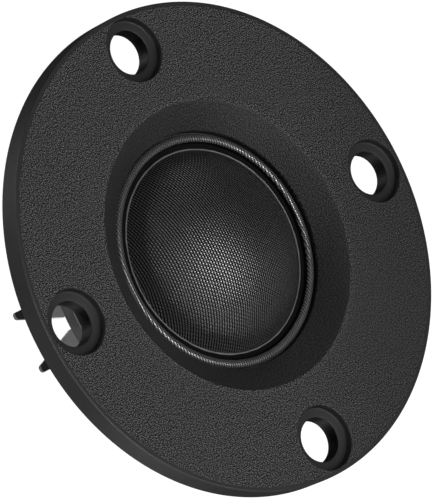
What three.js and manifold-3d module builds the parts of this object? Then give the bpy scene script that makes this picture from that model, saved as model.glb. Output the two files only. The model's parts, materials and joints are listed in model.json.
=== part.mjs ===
// Car tweeter: a 25 mm (one inch) woven dome on a round flush-mount flange, with a small
// neodymium motor behind it and two flat solder lugs at the back.
//
// Millimetres, +Z up. The tweeter stands on its back, dome upwards, with the origin in the middle
// of the back face. The terminal side faces -Y, and one of the four screw holes sits above it.

import * as THREE from "three";
import { mergeVertices } from "three/addons/utils/BufferGeometryUtils.js";
import Module from "manifold-3d";

const wasm = await Module();
wasm.setup();

// ---------------------------------------------------------------- driving dimensions

const FLANGE_D = 64;
const FLANGE_T = 3.2;
const DEPTH = 16.8; // front face of the flange to the back face of the rear cap
const BOLT_CIRCLE_D = 54.3;
const SCREW_HOLE_D = 5.8;
const COUNTERBORE_D = 8.4;
const COUNTERBORE_DEPTH = 1.1;
const RECESS_D = 37.8; // where the sunk cone starts on the front face
const OPENING_D = 31.14; // the hole that the surround and the dome show through
const OPENING_DEPTH = 2.4; // from the front face down to the lip of the opening
const SEAT_DEPTH = 3.55; // from the front face down to the seat that clamps the surround
const SKIRT_D = 37.8;
const SKIRT_BORE_D = 34.6;
const SKIRT_BOTTOM = 7;

const DOME_D = 26.6;
const DOME_RISE = 6.9;
const DOME_SKIN = 0.25;
const ROLL_RADIUS = 0.6; // half-round top of the surround's roll, outside
const ROLL_LEG = 0.2; // straight legs of the roll below the half-round
const ROLL_CENTRE_R = 14.8;
const CLOTH_T = 0.2;
const COIL_D = 25.4; // inside diameter of the voice coil: one inch
const FORMER_T = 0.2;
const WINDING_T = 0.35;
const WINDING_H = 2.6;

const MOTOR_D = 31; // outside of the yoke cup and of the rear cap
const GAP_OUTER_D = 27.1; // bore of the yoke cup, around the voice coil
const POLE_D = 24.7;
const MAGNET_D = 24;
const VENT_D = 6;
const POLE_PLATE_T = 2.15;
const MAGNET_T = 2.8;
const CUP_FLOOR_T = 2.4;
const CUP_RIM_T = 1.5;
const DIAPHRAGM_RING_T = 1.2;
const RIM_D = 34.4; // diaphragm ring, surround edge and rim of the yoke cup

const CAP_FLANGE_D = 32.9; // foot of the rear cap, where the lugs come out from under it
const CAP_FLANGE_T = 2.2;
const CAP_FLOOR_T = 1;
const CAP_WALL_T = 1.2;
const BOSS_D = 14; // round boss that the tweeter stands on, between the inner ends of the lugs
const LUG_T = 0.5;
const LUG_UNDER_Z = 0.4;
const LUG_ROOT_X = 0.85; // inner edge of a lug where it leaves the rear cap
const LUG_TIP_X = 3.15; // inner edge of a lug at its tip
const LUG_OUTER_X = 4.15; // straight outer edge of a lug
const LUG_TIP_Y = -23.3;
const LUG_INNER_END_Y = -8.4;
const RIVET_X = 2.5;
const RIVET_Y = -11.8;
const RIVET_HOLE_D = 2.2;
const RIVET_HEAD_T = 0.3;
const SOLDER_H = 0.6;
const LEAD_D = 0.3;
const LEAD_INSET = 0.8; // from the edge of the cup rim in to a lead
const CLEARANCE = 0.3;
const TOUCH_GAP = 0.03; // between turned parts that touch
const FOOT_GAP = 0.05; // between the coil former and the surround
const OVERSHOOT = 1; // how far a cutter reaches past what it cuts

// ---------------------------------------------------------------- levels and radii that follow

const FACE_Z = DEPTH;
const FLANGE_BACK_Z = FACE_Z - FLANGE_T;
const LIP_Z = FACE_Z - OPENING_DEPTH;
const CLOTH_TOP_Z = FACE_Z - SEAT_DEPTH;
const CLOTH_UNDER_Z = CLOTH_TOP_Z - CLOTH_T;
const RIM_TOP_Z = CLOTH_UNDER_Z - DIAPHRAGM_RING_T;
const RIM_UNDER_Z = RIM_TOP_Z - CUP_RIM_T;
const MAGNET_TOP_Z = RIM_TOP_Z - POLE_PLATE_T;
const CUP_FLOOR_Z = MAGNET_TOP_Z - MAGNET_T;
const CUP_BOTTOM_Z = CUP_FLOOR_Z - CUP_FLOOR_T;
const CAP_BACK_Z = LUG_UNDER_Z + LUG_T; // the lugs lie flat against the back of the cap
const CAP_FLOOR_Z = CAP_BACK_Z + CAP_FLOOR_T;
const RIVET_TOP_Z = CAP_FLOOR_Z + RIVET_HEAD_T;
const FOOT_R = COIL_D / 2 + FORMER_T + FOOT_GAP; // inner edge of the surround
const LEAD_R = RIM_D / 2 - LEAD_INSET; // the leads run down outside the cup wall
const LEAD_X = RIVET_X;
const LEAD_SLOT_W = 1.2;
const TERMINAL_SIDES = { positive: 1, negative: -1 };

const ROUND = 48; // facets round every large turned part
const HOLE_ROUND = 24; // facets round the screw holes
const SMALL_ROUND = 16; // facets round rivets, their holes and solder

// ---------------------------------------------------------------- geometry helpers

/** Points of a circular arc in the (radius, height) plane, ends included. */
function arc(r, z, radius, fromDegrees, toDegrees, steps) {
  const points = [];
  for (let i = 0; i <= steps; i += 1) {
    const angle = THREE.MathUtils.degToRad(fromDegrees + ((toDegrees - fromDegrees) * i) / steps);
    points.push([r + radius * Math.cos(angle), z + radius * Math.sin(angle)]);
  }
  return points;
}

/** Welds the vertices, drops collapsed triangles and turns the faces outwards. */
function closedBody(source) {
  const plain = source.index ? source.toNonIndexed() : source.clone();
  for (const name of Object.keys(plain.attributes)) {
    if (name !== "position") plain.deleteAttribute(name);
  }
  const welded = mergeVertices(plain, 1e-5);
  const corners = Array.from(welded.index.array);
  const position = welded.attributes.position;
  const [a, b, c] = [new THREE.Vector3(), new THREE.Vector3(), new THREE.Vector3()];
  const kept = [];
  let volume = 0;
  for (let i = 0; i < corners.length; i += 3) {
    const [p, q, s] = corners.slice(i, i + 3);
    if (p === q || q === s || s === p) continue;
    kept.push(p, q, s);
    a.fromBufferAttribute(position, p);
    b.fromBufferAttribute(position, q);
    c.fromBufferAttribute(position, s);
    volume += a.dot(b.cross(c));
  }
  if (volume < 0) kept.reverse();
  const body = new THREE.BufferGeometry();
  body.setAttribute("position", position);
  body.setIndex(kept);
  return body;
}

/** A turned part: the closed outline is a list of [radius, height], turned about Z. */
function turned(outline, segments = ROUND) {
  const closed = [...outline, outline[0]];
  const points = closed.map(([r, z]) => new THREE.Vector2(r, z));
  return closedBody(new THREE.LatheGeometry(points, segments).rotateX(Math.PI / 2));
}

/** A turned ring or disc with a square section; an inner diameter of 0 makes a disc. */
function washer(innerD, outerD, bottom, top, segments = ROUND) {
  const outline = [
    [innerD / 2, bottom],
    [outerD / 2, bottom],
    [outerD / 2, top],
    [innerD / 2, top],
  ];
  return turned(outline, segments);
}

/** A flat shape in X and Y, given thickness from one height to another. */
function plate(shape, bottom, top, curveSegments = 6) {
  const options = { depth: top - bottom, bevelEnabled: false, curveSegments };
  return closedBody(new THREE.ExtrudeGeometry(shape, options).translate(0, 0, bottom));
}

/** A box between two corners. */
function block([x0, y0, z0], [x1, y1, z1]) {
  const box = new THREE.BoxGeometry(Math.abs(x1 - x0), Math.abs(y1 - y0), Math.abs(z1 - z0));
  return closedBody(box.translate((x0 + x1) / 2, (y0 + y1) / 2, (z0 + z1) / 2));
}

/** An upright round cutter at a place in X and Y. */
function peg(x, y, diameter, bottom, top, segments = SMALL_ROUND) {
  return washer(0, diameter, bottom, top, segments).translate(x, y, 0);
}

function toSolid(geometry) {
  const vertProperties = Float32Array.from(geometry.attributes.position.array);
  const triVerts = Uint32Array.from(geometry.index.array);
  return new wasm.Manifold(new wasm.Mesh({ numProp: 3, vertProperties, triVerts }));
}

function fromSolid(solid) {
  const mesh = solid.getMesh();
  const geometry = new THREE.BufferGeometry();
  geometry.setAttribute("position", new THREE.BufferAttribute(mesh.vertProperties, 3));
  geometry.setIndex(new THREE.BufferAttribute(mesh.triVerts, 1));
  return geometry;
}

/** The body with every cutter taken away. */
function cut(body, cutters) {
  let solid = toSolid(body);
  for (const cutter of cutters) solid = solid.subtract(toSolid(cutter));
  return fromSolid(solid);
}

// ---------------------------------------------------------------- materials

function finish(color, roughness, metalness = 0) {
  return new THREE.MeshStandardMaterial({ color, roughness, metalness });
}

const BLACK_PLASTIC = finish(0x2b2b2b, 0.6);
const CARRIER_PLASTIC = finish(0x242424, 0.5);
const DOME_CLOTH = finish(0x111111, 0.55);
const SURROUND_CLOTH = finish(0x161616, 0.5);
const CLEAR_GLUE = finish(0x5a5a58, 0.25);
const BLACK_GLUE = finish(0x1a1a1a, 0.35);
const FORMER_FOIL = finish(0xb9bcc0, 0.35, 1);
const COPPER_WIRE = finish(0xa8582c, 0.35, 1);
const TINNED_WIRE = finish(0xb8b6b0, 0.4, 1);
const BLACK_STEEL = finish(0x26272a, 0.45, 1);
const PLATED_STEEL = finish(0x9a9c9f, 0.35, 1);
const NICKEL = finish(0xa9a79f, 0.25, 1);
const FELT = finish(0x8c8a86, 0.95);
const TINNED_BRASS = finish(0xb4b2ab, 0.35, 1);
const SOLDER = finish(0xc2c3c4, 0.3, 1);

// ---------------------------------------------------------------- the moulded faceplate

/** Flange, sunk cone, opening and rear skirt in one turned body. */
function faceplateBlank() {
  const rimR = FLANGE_D / 2;
  const edge = 0.4; // rounding of the front edge of the flange
  const lip = 0.2; // rounding of the lip of the opening
  const softening = 1.1; // rounding where the face turns down into the cone
  const run = RECESS_D / 2 - OPENING_D / 2;
  const slope = THREE.MathUtils.radToDeg(Math.atan2(OPENING_DEPTH, run));
  const tangent = softening * Math.tan(THREE.MathUtils.degToRad(slope / 2));
  const shoulderR = RECESS_D / 2 + tangent;
  return turned([
    [rimR - lip, FLANGE_BACK_Z],
    [rimR, FLANGE_BACK_Z + lip],
    ...arc(rimR - edge, FACE_Z - edge, edge, 0, 90, 2),
    ...arc(shoulderR, FACE_Z - softening, softening, 90, 90 + slope, 3),
    ...arc(OPENING_D / 2 + lip, LIP_Z - lip, lip, 90 + slope, 180, 2),
    [OPENING_D / 2, CLOTH_TOP_Z],
    [SKIRT_BORE_D / 2, CLOTH_TOP_Z],
    [SKIRT_BORE_D / 2, SKIRT_BOTTOM],
    [SKIRT_D / 2 - lip, SKIRT_BOTTOM],
    [SKIRT_D / 2, SKIRT_BOTTOM + lip],
    [SKIRT_D / 2, FLANGE_BACK_Z],
  ]);
}

/** The four screw holes on their bolt circle, each with a counterbore. */
function screwHoleCutters() {
  const cutters = [];
  for (let i = 0; i < 4; i += 1) {
    const angle = (i * Math.PI) / 2;
    const x = (BOLT_CIRCLE_D / 2) * Math.cos(angle);
    const y = (BOLT_CIRCLE_D / 2) * Math.sin(angle);
    const seatZ = FACE_Z - COUNTERBORE_DEPTH;
    cutters.push(peg(x, y, SCREW_HOLE_D, FLANGE_BACK_Z - OVERSHOOT, FACE_Z + OVERSHOOT, HOLE_ROUND));
    cutters.push(peg(x, y, COUNTERBORE_D, seatZ, FACE_Z + OVERSHOOT, HOLE_ROUND));
  }
  return cutters;
}

/** Shallow pockets in the back of the flange: three between each pair of screw holes. */
function pocketCutters() {
  const innerMargin = 1.6; // solid plastic left beside the skirt
  const outerMargin = 1.8; // and at the edge of the flange
  const innerR = SKIRT_D / 2 + innerMargin;
  const outerR = FLANGE_D / 2 - outerMargin;
  const pocketDepth = 1.2;
  const pocketsPerSide = 3;
  const pocketSpan = THREE.MathUtils.degToRad(15.5);
  const pitch = THREE.MathUtils.degToRad(18);
  const cutters = [];
  for (let side = 0; side < 4; side += 1) {
    for (let i = 0; i < pocketsPerSide; i += 1) {
      const middle = (side + 0.5) * (Math.PI / 2) + (i - 1) * pitch;
      const from = middle - pocketSpan / 2;
      const to = middle + pocketSpan / 2;
      const shape = new THREE.Shape();
      shape.absarc(0, 0, outerR, from, to, false);
      shape.absarc(0, 0, innerR, to, from, true);
      shape.closePath();
      cutters.push(plate(shape, FLANGE_BACK_Z - OVERSHOOT, FLANGE_BACK_Z + pocketDepth, 4));
    }
  }
  return cutters;
}

function faceplate() {
  return cut(faceplateBlank(), [...screwHoleCutters(), ...pocketCutters()]);
}

// ---------------------------------------------------------------- the diaphragm

/** Spherical cap of woven cloth, standing on the inner edge of the surround. */
function dome() {
  const edgeR = DOME_D / 2;
  const radius = (edgeR ** 2 + DOME_RISE ** 2) / (2 * DOME_RISE);
  const centreZ = CLOTH_TOP_Z + DOME_RISE - radius;
  const below = CLOTH_TOP_Z - centreZ;
  const innerRadius = radius - DOME_SKIN;
  const outerStart = THREE.MathUtils.radToDeg(Math.asin(below / radius));
  const innerStart = THREE.MathUtils.radToDeg(Math.asin(below / innerRadius));
  return turned([
    ...arc(0, centreZ, radius, outerStart, 90, 8),
    ...arc(0, centreZ, innerRadius, 90, innerStart, 8),
  ]);
}

/** Flat inner foot, a roll with a half-round top, and a flat outer edge, all of one cloth. */
function surround() {
  const innerRoll = ROLL_RADIUS - CLOTH_T;
  const rollZ = CLOTH_TOP_Z + ROLL_LEG;
  return turned([
    [FOOT_R, CLOTH_UNDER_Z],
    [ROLL_CENTRE_R - innerRoll, CLOTH_UNDER_Z],
    ...arc(ROLL_CENTRE_R, rollZ, innerRoll, 180, 0, 4),
    [ROLL_CENTRE_R + innerRoll, CLOTH_UNDER_Z],
    [RIM_D / 2, CLOTH_UNDER_Z],
    [RIM_D / 2, CLOTH_TOP_Z],
    [ROLL_CENTRE_R + ROLL_RADIUS, CLOTH_TOP_Z],
    ...arc(ROLL_CENTRE_R, rollZ, ROLL_RADIUS, 0, 180, 5),
    [ROLL_CENTRE_R - ROLL_RADIUS, CLOTH_TOP_Z],
    [FOOT_R, CLOTH_TOP_Z],
  ]);
}

/** Bead of clear glue that bonds the edge of the dome to the surround. */
function domeGlueBead() {
  const innerR = DOME_D / 2 + TOUCH_GAP;
  const beadR = 0.14;
  const wall = 0.1; // straight part below the rounded top
  return turned([
    [innerR, CLOTH_TOP_Z],
    [innerR + 2 * beadR, CLOTH_TOP_Z],
    ...arc(innerR + beadR, CLOTH_TOP_Z + wall, beadR, 0, 180, 4),
  ]);
}

/** Thin foil tube inside the foot of the surround, down into the magnetic gap. */
function voiceCoilFormer() {
  const travelRoom = 2; // between the former and the floor of the cup
  const bottom = CUP_FLOOR_Z + travelRoom;
  const top = CLOTH_TOP_Z - CLOTH_T / 2;
  return washer(COIL_D, COIL_D + 2 * FORMER_T, bottom, top);
}

/** Copper winding on the former, centred on the pole plate. */
function voiceCoilWinding() {
  const innerD = COIL_D + 2 * FORMER_T;
  const middle = MAGNET_TOP_Z + POLE_PLATE_T / 2;
  return washer(innerD, innerD + 2 * WINDING_T, middle - WINDING_H / 2, middle + WINDING_H / 2);
}

/** Plastic ring that carries the edge of the surround, with two grooves for the leads. */
function diaphragmRing() {
  const ring = washer(OPENING_D + 2 * TOUCH_GAP, RIM_D, RIM_TOP_Z, CLOTH_UNDER_Z);
  const grooveRoof = 0.35; // plastic left above a groove
  const grooveTop = CLOTH_UNDER_Z - grooveRoof;
  const innerR = OPENING_D / 2 - OVERSHOOT;
  const outerR = RIM_D / 2 + OVERSHOOT;
  return cut(ring, leadSlots(RIM_TOP_Z - OVERSHOOT, grooveTop, innerR, outerR));
}

// ---------------------------------------------------------------- the motor

/** Cutters for the two leads, between two radii measured along -Y. */
function leadSlots(bottom, top, innerR, outerR) {
  return Object.values(TERMINAL_SIDES).map((side) => {
    const near = side * LEAD_X - LEAD_SLOT_W / 2;
    const far = side * LEAD_X + LEAD_SLOT_W / 2;
    return block([near, -outerR, bottom], [far, -innerR, top]);
  });
}

/** Steel cup round the magnet, with an outer rim at the top and a vent through its floor. */
function yokeCup() {
  const cup = turned([
    [VENT_D / 2, CUP_BOTTOM_Z],
    [MOTOR_D / 2, CUP_BOTTOM_Z],
    [MOTOR_D / 2, RIM_UNDER_Z],
    [RIM_D / 2, RIM_UNDER_Z],
    [RIM_D / 2, RIM_TOP_Z],
    [GAP_OUTER_D / 2, RIM_TOP_Z],
    [GAP_OUTER_D / 2, CUP_FLOOR_Z],
    [VENT_D / 2, CUP_FLOOR_Z],
  ]);
  const slotInnerR = MOTOR_D / 2 + CLEARANCE;
  const slotOuterR = RIM_D / 2 + OVERSHOOT;
  const slotBottom = RIM_UNDER_Z - OVERSHOOT;
  return cut(cup, leadSlots(slotBottom, RIM_TOP_Z + OVERSHOOT, slotInnerR, slotOuterR));
}

function magnet() {
  return washer(VENT_D, MAGNET_D, CUP_FLOOR_Z, MAGNET_TOP_Z);
}

function polePlate() {
  return washer(VENT_D, POLE_D, MAGNET_TOP_Z, RIM_TOP_Z);
}

/** Soft felt ring on the pole plate that damps the air under the dome. */
function poleFelt() {
  const innerD = VENT_D + 1;
  const outerD = POLE_D - 3.5; // the dome clears the felt at full travel
  const thickness = 0.8;
  return washer(innerD, outerD, RIM_TOP_Z, RIM_TOP_Z + thickness);
}

/** Fillet of black glue under the rim of the cup that holds the motor in the skirt. */
function motorGlueBead() {
  const outerR = SKIRT_BORE_D / 2 - TOUCH_GAP;
  const top = RIM_UNDER_Z - TOUCH_GAP;
  const leg = 0.6;
  return turned([
    [outerR, top - leg],
    [outerR, top],
    [outerR - leg, top],
  ]);
}

// ---------------------------------------------------------------- the rear cap and its terminals

/** Moulded cap glued to the back of the cup. It closes the rear chamber and carries the lugs. */
function rearCap() {
  const capR = MOTOR_D / 2;
  const flangeR = CAP_FLANGE_D / 2;
  const flangeTopZ = CAP_BACK_Z + CAP_FLANGE_T;
  const bossBevel = 0.2;
  const edge = 0.15; // bevel on the edges of the foot
  const cap = turned([
    [0, 0],
    [BOSS_D / 2 - bossBevel, 0],
    [BOSS_D / 2, bossBevel],
    [BOSS_D / 2, CAP_BACK_Z],
    [flangeR - edge, CAP_BACK_Z],
    [flangeR, CAP_BACK_Z + edge],
    [flangeR, flangeTopZ - edge],
    [flangeR - edge, flangeTopZ],
    [capR, flangeTopZ],
    [capR, CUP_BOTTOM_Z],
    [capR - CAP_WALL_T, CUP_BOTTOM_Z],
    [capR - CAP_WALL_T, CAP_FLOOR_Z],
    [0, CAP_FLOOR_Z],
  ]);
  const notchBottom = CUP_BOTTOM_Z - 1.2;
  const notchTop = CUP_BOTTOM_Z + OVERSHOOT;
  const wallR = capR - CAP_WALL_T;
  const leadNotches = leadSlots(notchBottom, notchTop, wallR - OVERSHOOT, capR + OVERSHOOT);
  const rivetHoles = Object.values(TERMINAL_SIDES).map((side) =>
    peg(side * RIVET_X, RIVET_Y, RIVET_HOLE_D, CAP_BACK_Z - OVERSHOOT, CAP_FLOOR_Z + OVERSHOOT),
  );
  return cut(cap, [...leadNotches, ...rivetHoles]);
}

/** Felt disc on the floor of the rear chamber. */
function rearFelt() {
  const diameter = 14;
  const thickness = 2.2;
  return washer(0, diameter, CAP_FLOOR_Z, CAP_FLOOR_Z + thickness);
}

/** Flat lug: a straight part under the cap, then a blade that tapers along its inner edge. */
function lug(side) {
  const flangeR = CAP_FLANGE_D / 2;
  const tipRound = 0.4;
  const innerRound = 1.2;
  const shape = new THREE.Shape();
  shape.moveTo(side * LUG_ROOT_X, -flangeR);
  shape.lineTo(side * LUG_TIP_X, LUG_TIP_Y + tipRound);
  shape.quadraticCurveTo(side * LUG_TIP_X, LUG_TIP_Y, side * (LUG_TIP_X + tipRound), LUG_TIP_Y);
  shape.lineTo(side * (LUG_OUTER_X - tipRound), LUG_TIP_Y);
  shape.quadraticCurveTo(side * LUG_OUTER_X, LUG_TIP_Y, side * LUG_OUTER_X, LUG_TIP_Y + tipRound);
  shape.lineTo(side * LUG_OUTER_X, LUG_INNER_END_Y - innerRound);
  shape.lineTo(side * (LUG_OUTER_X - innerRound), LUG_INNER_END_Y);
  shape.lineTo(side * (LUG_ROOT_X + innerRound), LUG_INNER_END_Y);
  shape.lineTo(side * LUG_ROOT_X, LUG_INNER_END_Y - innerRound);
  shape.closePath();
  const rivetHole = peg(side * RIVET_X, RIVET_Y, RIVET_HOLE_D, LUG_UNDER_Z - OVERSHOOT, CAP_BACK_Z + OVERSHOOT);
  return cut(plate(shape, LUG_UNDER_Z, CAP_BACK_Z, 3), [rivetHole]);
}

/** Tubular rivet through the floor of the cap and a lug, flanged inside and rolled over below. */
function rivet(side) {
  const boreR = 0.4;
  const shankR = 0.8;
  const headR = 1.4;
  const edge = 0.12; // bevel round both heads
  const rolledZ = LUG_UNDER_Z - RIVET_HEAD_T;
  const outline = [
    [boreR, rolledZ],
    [headR - edge, rolledZ],
    [headR, rolledZ + edge],
    [headR, LUG_UNDER_Z],
    [shankR, LUG_UNDER_Z],
    [shankR, CAP_FLOOR_Z],
    [headR, CAP_FLOOR_Z],
    [headR, RIVET_TOP_Z - edge],
    [headR - edge, RIVET_TOP_Z],
    [boreR, RIVET_TOP_Z],
  ];
  return turned(outline, SMALL_ROUND).translate(side * RIVET_X, RIVET_Y, 0);
}

/** Low mound of solder that joins a lead to the inner head of its rivet. */
function solderJoint(side) {
  const footR = 1.1;
  const outline = [
    [0, RIVET_TOP_Z],
    [footR, RIVET_TOP_Z],
    [footR * 0.85, RIVET_TOP_Z + SOLDER_H * 0.4],
    [footR * 0.5, RIVET_TOP_Z + SOLDER_H * 0.8],
    [0, RIVET_TOP_Z + SOLDER_H],
  ];
  return turned(outline, SMALL_ROUND).translate(side * RIVET_X, RIVET_Y, 0);
}

/** Lead from the voice coil: a slack loop under the surround, then down past the motor. */
function leadWire(side) {
  const startR = COIL_D / 2 + FORMER_T + CLEARANCE + LEAD_D / 2;
  const loopLowZ = CLOTH_UNDER_Z - 0.35;
  const loopHighZ = CLOTH_UNDER_Z - 0.2;
  const ringZ = RIM_TOP_Z + LEAD_D; // along the groove in the diaphragm ring
  const turnZ = CUP_BOTTOM_Z - 0.6; // through the notch in the cap
  const solderTopZ = RIVET_TOP_Z + SOLDER_H + CLEARANCE;
  const stations = [
    [startR, loopLowZ],
    [startR + 0.5, loopHighZ],
    [startR + 1.3, loopLowZ],
    [LEAD_R - 0.8, ringZ + 0.1],
    [LEAD_R - 0.2, ringZ],
    [LEAD_R, ringZ - 0.6],
    [LEAD_R, RIM_UNDER_Z],
    [LEAD_R, CUP_BOTTOM_Z + 1.5],
    [LEAD_R, turnZ + 0.7],
    [LEAD_R - 0.5, turnZ],
    [MOTOR_D / 2 - 1.4, turnZ],
    [-RIVET_Y + 0.6, turnZ - 0.1],
    [-RIVET_Y, turnZ - 0.3],
    [-RIVET_Y, solderTopZ],
  ];
  const points = stations.map(([r, z]) => new THREE.Vector3(side * LEAD_X, -r, z));
  const path = new THREE.CatmullRomCurve3(points, false, "centripetal");
  const section = new THREE.Shape().absarc(0, 0, LEAD_D / 2, 0, 2 * Math.PI);
  const options = { steps: 30, extrudePath: path, curveSegments: 4 };
  return closedBody(new THREE.ExtrudeGeometry(section, options));
}

// ---------------------------------------------------------------- assembly

function piece(name, geometry, material) {
  const mesh = new THREE.Mesh(geometry, material);
  mesh.name = name;
  return mesh;
}

const diaphragm = new THREE.Group();
diaphragm.add(
  piece("dome", dome(), DOME_CLOTH),
  piece("surround", surround(), SURROUND_CLOTH),
  piece("dome_glue_bead", domeGlueBead(), CLEAR_GLUE),
  piece("voice_coil_former", voiceCoilFormer(), FORMER_FOIL),
  piece("voice_coil_winding", voiceCoilWinding(), COPPER_WIRE),
);

const motor = new THREE.Group();
motor.add(
  piece("yoke_cup", yokeCup(), BLACK_STEEL),
  piece("magnet", magnet(), NICKEL),
  piece("pole_plate", polePlate(), PLATED_STEEL),
  piece("pole_felt", poleFelt(), FELT),
  piece("motor_glue_bead", motorGlueBead(), BLACK_GLUE),
);

const terminals = new THREE.Group();
for (const [polarity, side] of Object.entries(TERMINAL_SIDES)) {
  terminals.add(
    piece(`lug_${polarity}`, lug(side), TINNED_BRASS),
    piece(`rivet_${polarity}`, rivet(side), PLATED_STEEL),
    piece(`solder_joint_${polarity}`, solderJoint(side), SOLDER),
    piece(`lead_wire_${polarity}`, leadWire(side), TINNED_WIRE),
  );
}

const tweeter = new THREE.Group();
tweeter.add(
  piece("faceplate", faceplate(), BLACK_PLASTIC),
  piece("diaphragm_ring", diaphragmRing(), CARRIER_PLASTIC),
  diaphragm,
  motor,
  piece("rear_cap", rearCap(), CARRIER_PLASTIC),
  piece("rear_felt", rearFelt(), FELT),
  terminals,
);

export default tweeter;
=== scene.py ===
"""Looks for the car tweeter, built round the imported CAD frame.

Metres, +Z up. The tweeter stands on its back with the dome upwards and the terminal side at -Y.
"""

import itertools
import json
import math

import bmesh
import bpy
from mathutils import Matrix, Quaternion, Vector
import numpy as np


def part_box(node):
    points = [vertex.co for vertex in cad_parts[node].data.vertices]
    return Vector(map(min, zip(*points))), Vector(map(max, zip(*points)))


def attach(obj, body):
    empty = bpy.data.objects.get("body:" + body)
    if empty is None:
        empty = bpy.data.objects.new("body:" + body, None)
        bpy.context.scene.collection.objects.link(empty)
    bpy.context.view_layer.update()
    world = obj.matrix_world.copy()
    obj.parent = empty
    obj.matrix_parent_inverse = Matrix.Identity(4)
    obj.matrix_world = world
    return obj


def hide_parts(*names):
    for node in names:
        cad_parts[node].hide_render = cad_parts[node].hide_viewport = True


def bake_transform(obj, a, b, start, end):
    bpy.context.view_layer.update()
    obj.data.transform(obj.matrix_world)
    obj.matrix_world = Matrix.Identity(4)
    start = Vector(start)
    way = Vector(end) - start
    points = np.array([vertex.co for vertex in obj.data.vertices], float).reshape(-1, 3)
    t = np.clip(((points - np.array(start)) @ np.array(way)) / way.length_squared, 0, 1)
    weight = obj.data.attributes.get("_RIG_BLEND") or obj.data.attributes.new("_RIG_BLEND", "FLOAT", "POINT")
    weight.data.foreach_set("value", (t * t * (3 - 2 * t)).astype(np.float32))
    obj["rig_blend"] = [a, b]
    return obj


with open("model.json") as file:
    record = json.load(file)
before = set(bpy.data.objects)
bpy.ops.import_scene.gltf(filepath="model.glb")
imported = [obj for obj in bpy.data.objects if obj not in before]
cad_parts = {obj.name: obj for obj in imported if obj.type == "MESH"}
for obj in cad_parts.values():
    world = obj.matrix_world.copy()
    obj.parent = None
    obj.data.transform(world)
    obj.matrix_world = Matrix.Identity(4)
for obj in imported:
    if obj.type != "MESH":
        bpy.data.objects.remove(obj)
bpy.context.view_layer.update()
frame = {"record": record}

MM = 0.001

# ------------------------------------------------------------------ sizes taken from the frame

PLATE_LOW, PLATE_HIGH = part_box("faceplate")
CLOTH_LOW, CLOTH_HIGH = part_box("surround")
DOME_LOW, DOME_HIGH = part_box("dome")
FORMER_LOW, FORMER_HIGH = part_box("voice_coil_former")
RING_LOW, RING_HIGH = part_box("diaphragm_ring")
CUP_LOW, CUP_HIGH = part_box("yoke_cup")
CAP_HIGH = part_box("rear_cap")[1]
LUG_LOW, LUG_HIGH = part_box("lug_positive")
RIVET_LOW, RIVET_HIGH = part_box("rivet_positive")
SOLDER_LOW, SOLDER_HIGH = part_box("solder_joint_positive")
LEAD_LOW, LEAD_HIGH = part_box("lead_wire_positive")
MOUNTS = {mount["name"]: mount["pos_m"] for mount in frame["record"]["mounts"]}
OPENINGS = {opening["name"]: opening["box_m"] for opening in frame["record"]["physics"]["openings"]}
HOLE_LOW, HOLE_HIGH = OPENINGS["screw_hole_right"]

FLANGE_R = PLATE_HIGH.x
FACE_Z = PLATE_HIGH.z
FLANGE_BACK_Z = MOUNTS["flange_back"][2]
BOLT_R = (HOLE_LOW[0] + HOLE_HIGH[0]) / 2
CLOTH_TOP_Z = DOME_LOW.z
RIM_R = CLOTH_HIGH.x
DOME_R = DOME_HIGH.x
DOME_RISE = DOME_HIGH.z - DOME_LOW.z
DOME_BALL_R = (DOME_R**2 + DOME_RISE**2) / (2 * DOME_RISE)  # the dome is a cap of this ball
COIL_R = FORMER_HIGH.x
CAP_FOOT_R = CAP_HIGH.x
RIVET_X = (RIVET_LOW.x + RIVET_HIGH.x) / 2
RIVET_Y = (RIVET_LOW.y + RIVET_HIGH.y) / 2

# ------------------------------------------------------------------ sizes of the moulded details

SCREW_HOLE_R = 2.87 * MM
COUNTERBORE_R = 4.2 * MM
COUNTERBORE_DEPTH = 1.1 * MM
RECESS_R = 18.9 * MM
OPENING_R = 15.57 * MM
OPENING_DEPTH = 2.4 * MM
SKIRT_R = 18.9 * MM
SKIRT_BORE_R = 17.3 * MM
ROLL_R = 0.6 * MM
ROLL_CENTRE_R = 14.8 * MM
POCKET_DEPTH = 1.2 * MM
POCKET_SPAN = 15.5  # degrees that each pocket in the back of the flange takes up
POCKET_PITCH = 18  # degrees from one pocket to the next
CUP_WALL_R = 15.5 * MM
CUP_BORE_R = 13.55 * MM
CUP_RIM_T = 1.5 * MM
VENT_R = 3.0 * MM
CAP_FOOT_T = 2.2 * MM
CAP_WALL_T = 1.2 * MM
BOSS_R = 7.0 * MM
RIVET_HOLE_R = 1.1 * MM
RIVET_HEAD_T = 0.3 * MM
LEAD_SLOT_W = 1.2 * MM
CLOTH_T = 0.18 * MM
SMOOTH_BORDER = 0.62 * MM  # grain-free band inside the edge of the flange

GRAIN_PITCH = 0.23 * MM  # distance between the peaks of the grain
GRAIN_DEPTH = 0.13 * MM
CONE_GRAIN = 0.35  # depth of the grain in the cone, as a share of that on the face
PAINTED_SHADE_GRAIN = 0.45  # depth of the grain on the side with painted shade, as a share of that opposite; its pale peaks thin out there too, as painted shade
PAINTED_SHADE_SIDE = 57  # degrees from +X to the side of the flange with the shallowest grain and the most painted shade
PEAK_LOW, PEAK_HIGH = 0.56, 0.88  # heights in the grain between which it is painted grey, as painted glints on its peaks
SMOOTH_PAINTED_SHEEN = 0.06  # how grey the smooth border and the screw seats are painted, as painted sheen, as a share of the painted glints on the peaks

WEFT_PITCH = 0.342 * MM  # threads that run along X
WARP_PITCH = 0.255 * MM  # threads that run along Y
WEFT_LEVEL, WEFT_LIFT = 0.70, 0.30  # mean height of a weft thread, and its swing over the warp
WARP_LEVEL, WARP_LIFT = 0.45, 0.40
THREAD_SWAY = 0.9  # how far the threads wander off straight, in pitches

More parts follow.
